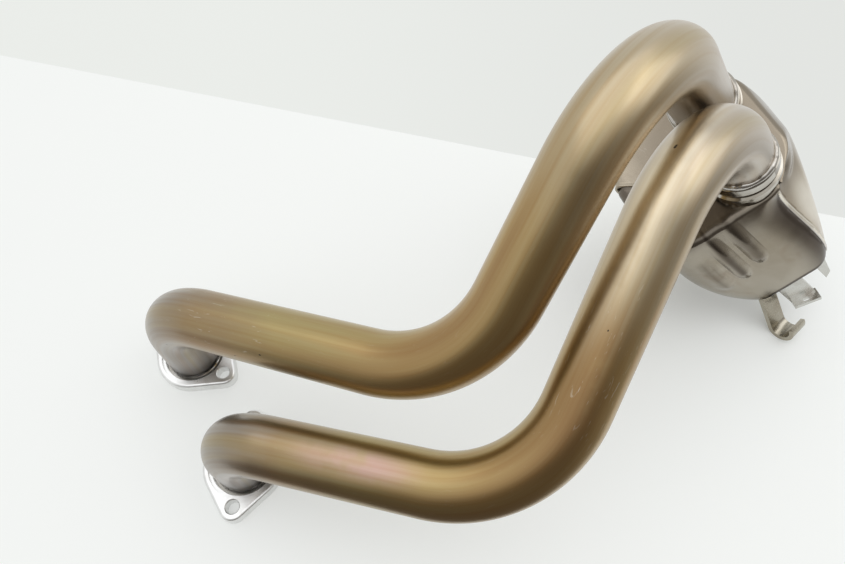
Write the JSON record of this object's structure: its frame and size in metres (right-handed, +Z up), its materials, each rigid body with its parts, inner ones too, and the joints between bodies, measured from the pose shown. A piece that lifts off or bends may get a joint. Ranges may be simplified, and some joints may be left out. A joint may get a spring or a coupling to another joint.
{
  "type": "motorcycle exhaust header",
  "caption": "Heat-tinted two-into-one exhaust header: bent pipes with loose stud flanges run into a pressed, seamed collector with brackets and a foot strap.",
  "frame": {"origin": "centre of the far port, on the plane of the port faces", "axes": "+Z up, out of the ports into the pipes; -Y from the far port to the near port; +X from the ports towards the collector"},
  "size_m": [0.457, 0.2611, 0.2508],
  "materials": {
    "heat_tinted_pipe": "stainless steel, bronze heat tint with fine lengthwise streaks",
    "satin_flange": "stainless steel, satin with polished edges",
    "turned_ring": "stainless steel, turned, light heat tint",
    "weld_bead": "bright rippled weld bead",
    "pressed_sheet": "pressed stainless sheet, semi-gloss, brown tint at the seam",
    "bracket_steel": "stainless sheet, dull, gold tint beside the welds"
  },
  "bodies": {
    "header": {"header_pipe_far": "heat_tinted_pipe", "header_pipe_near": "heat_tinted_pipe", "port_collar_far": "turned_ring", "port_collar_near": "turned_ring", "inlet_neck_far": "turned_ring", "inlet_neck_near": "turned_ring", "outlet_ring": "turned_ring", "inlet_weld_far": "weld_bead", "inlet_weld_near": "weld_bead", "collector_upper_shell": "pressed_sheet", "collector_lower_shell": "pressed_sheet", "outlet_plate": "pressed_sheet", "hanger_tab": "bracket_steel", "hanger_lug": "bracket_steel", "foot_strap": "bracket_steel"},
    "flange_far": {"stud_flange_far": "satin_flange"},
    "flange_near": {"stud_flange_near": "satin_flange"}
  },
  "joints": [
    {"name": "far_flange_swivel", "type": "hinge", "parent": "header", "child": "flange_far", "pos_m": [0, 0, 0], "axis": [0, 0, 1], "continuous": true},
    {"name": "near_flange_swivel", "type": "hinge", "parent": "header", "child": "flange_near", "pos_m": [0.0024, -0.0951, 0], "axis": [0, 0, 1], "continuous": true}
  ]
}
